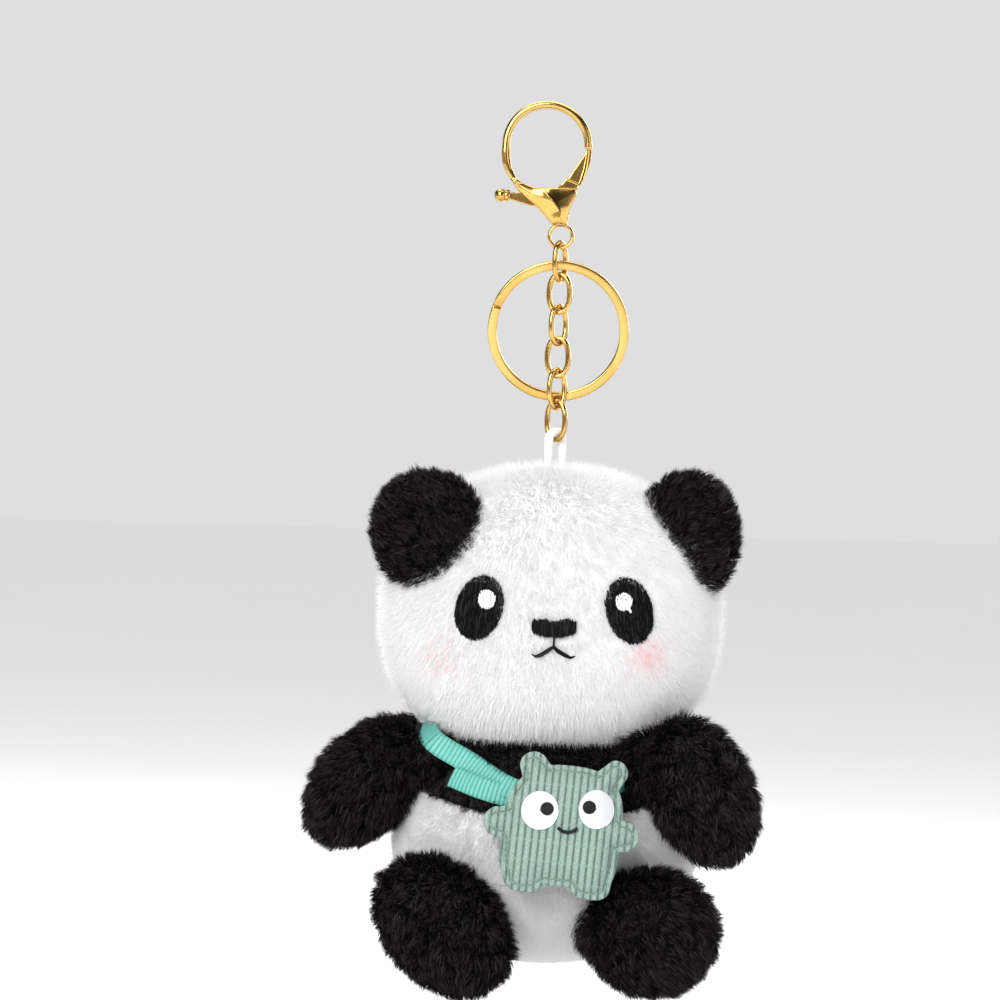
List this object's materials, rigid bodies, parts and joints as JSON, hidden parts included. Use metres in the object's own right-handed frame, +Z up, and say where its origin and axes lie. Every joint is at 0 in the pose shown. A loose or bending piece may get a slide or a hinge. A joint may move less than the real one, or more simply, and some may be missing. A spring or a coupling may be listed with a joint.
{
  "type": "plush keychain",
  "caption": "Plush panda pendant with a crossbody pouch, hung by a cord loop and oval-link chain from a sprung lobster clasp with a split ring.",
  "frame": {"origin": "inside top of the clasp's hook, where it hangs on whatever carries it", "axes": "+Z up along the hanging line, front (the face) towards -Y, +X to the right seen from the front"},
  "size_m": [0.0929, 0.0568, 0.1858],
  "materials": {
    "gold_metal": "polished",
    "spring_steel": "satin",
    "white_cord": "satin",
    "white_plush": "matte",
    "black_plush": "matte",
    "filling": "matte",
    "black_thread": "satin",
    "white_thread": "satin",
    "mint_ribbon": "satin",
    "mint_cloth": "matte",
    "pouch_white": "satin",
    "pouch_black": "satin"
  },
  "bodies": {
    "clasp": {"clasp_body": "gold_metal", "clasp_rivet": "gold_metal", "clasp_spring": "spring_steel"},
    "lever": {"clasp_lever": "gold_metal"},
    "link_1": {"chain_link_1": "gold_metal"},
    "link_2": {"chain_link_2": "gold_metal"},
    "link_3": {"chain_link_3": "gold_metal"},
    "link_4": {"chain_link_4": "gold_metal"},
    "link_5": {"chain_link_5": "gold_metal"},
    "link_6": {"chain_link_6": "gold_metal"},
    "ring": {"split_ring": "gold_metal"},
    "head": {"hanging_cord": "white_cord", "cord_knot": "white_cord", "head_front_cover": "white_plush", "head_back_cover": "white_plush", "head_filling": "filling", "eye_left": "black_thread", "eye_right": "black_thread", "eye_highlight_left": "white_thread", "eye_highlight_right": "white_thread", "nose": "black_thread", "mouth": "black_thread"},
    "ear_left": {"ear_left": "black_plush"},
    "ear_right": {"ear_right": "black_plush"},
    "torso": {"chest_cover": "black_plush", "belly_cover": "white_plush", "upper_back_cover": "black_plush", "lower_back_cover": "white_plush", "torso_filling": "filling", "neck_ribbon": "mint_ribbon"},
    "arm_left": {"arm_left_cover": "black_plush", "arm_left_filling": "filling"},
    "arm_right": {"arm_right_cover": "black_plush", "arm_right_filling": "filling"},
    "leg_left": {"leg_left_cover": "black_plush", "leg_left_filling": "filling"},
    "leg_right": {"leg_right_cover": "black_plush", "leg_right_filling": "filling"},
    "pouch": {"pouch_front": "mint_cloth", "pouch_back": "mint_cloth", "pouch_padding": "filling", "pouch_eyes": "pouch_white", "pouch_pupils": "pouch_black", "pouch_smile": "pouch_black"}
  },
  "joints": [
    {"name": "lever_press", "type": "hinge", "parent": "clasp", "child": "lever", "pos_m": [0.0035, 0, -0.0185], "axis": [0, -1, 0], "range_deg": [0, 28], "stiffness_Nm_per_rad": 0.02, "springref_deg": -17.19},
    {"name": "link_1_swing", "type": "hinge", "parent": "clasp", "child": "link_1", "pos_m": [0.0034, 0, -0.02935], "axis": [-1, 0, 0], "range_deg": [-40, 40]},
    {"name": "link_2_swing", "type": "hinge", "parent": "link_1", "child": "link_2", "pos_m": [0.0034, 0, -0.03626], "axis": [0.4695, 0.8829, 0], "range_deg": [-25, 5]},
    {"name": "link_3_swing", "type": "hinge", "parent": "link_2", "child": "link_3", "pos_m": [0.0034, 0, -0.04299], "axis": [-0.9659, 0.2588, 0], "range_deg": [-4, 35]},
    {"name": "link_4_swing", "type": "hinge", "parent": "link_3", "child": "link_4", "pos_m": [0.0034, 0, -0.04972], "axis": [-0.5736, -0.8192, 0], "range_deg": [-12, 25]},
    {"name": "link_5_swing", "type": "hinge", "parent": "link_4", "child": "link_5", "pos_m": [0.0034, 0, -0.05645], "axis": [0.9781, -0.2079, 0], "range_deg": [-35, 12]},
    {"name": "link_6_swing", "type": "hinge", "parent": "link_5", "child": "link_6", "pos_m": [0.0034, 0, -0.06317], "axis": [0.6157, 0.788, 0], "range_deg": [-25, 25]},
    {"name": "ring_swing", "type": "hinge", "parent": "link_1", "child": "ring", "pos_m": [0.0034, 0, -0.03301], "axis": [1, 0, 0], "range_deg": [0, 30]},
    {"name": "head_swing", "type": "hinge", "parent": "link_6", "child": "head", "pos_m": [0.0034, 0, -0.0699], "axis": [-0.829, 0.5592, 0], "range_deg": [-25, 25]},
    {"name": "neck_nod", "type": "hinge", "parent": "head", "child": "torso", "pos_m": [0.0034, 0.001, -0.137], "axis": [1, 0, 0], "range_deg": [-6, 6], "stiffness_Nm_per_rad": 0.05},
    {"name": "arm_left_lift", "type": "hinge", "parent": "torso", "child": "arm_left", "pos_m": [-0.0226, -0.002, -0.138], "axis": [-1, 0, 0], "range_deg": [-5, 30], "stiffness_Nm_per_rad": 0.02},
    {"name": "arm_right_lift", "type": "hinge", "parent": "torso", "child": "arm_right", "pos_m": [0.0254, -0.01, -0.138], "axis": [-1, 0, 0], "range_deg": [-3, 30], "stiffness_Nm_per_rad": 0.02},
    {"name": "leg_left_flex", "type": "hinge", "parent": "torso", "child": "leg_left", "pos_m": [-0.0146, -0.009, -0.169], "axis": [-1, 0, 0], "range_deg": [-6, 12], "stiffness_Nm_per_rad": 0.02},
    {"name": "leg_right_flex", "type": "hinge", "parent": "torso", "child": "leg_right", "pos_m": [0.0184, -0.011, -0.1695], "axis": [-1, 0, 0], "range_deg": [-6, 11], "stiffness_Nm_per_rad": 0.02},
    {"name": "ear_left_flex", "type": "hinge", "parent": "head", "child": "ear_left", "pos_m": [-0.022, -0.003, -0.0875], "axis": [0, 0, 1], "range_deg": [-8, 8], "stiffness_Nm_per_rad": 0.01},
    {"name": "ear_right_flex", "type": "hinge", "parent": "head", "child": "ear_right", "pos_m": [0.029, -0.002, -0.0875], "axis": [0, 0, 1], "range_deg": [-8, 8], "stiffness_Nm_per_rad": 0.01},
    {"name": "pouch_lift", "type": "hinge", "parent": "torso", "child": "pouch", "pos_m": [0.0063, -0.021, -0.1372], "axis": [-1, 0, 0], "range_deg": [0, 40]}
  ]
}
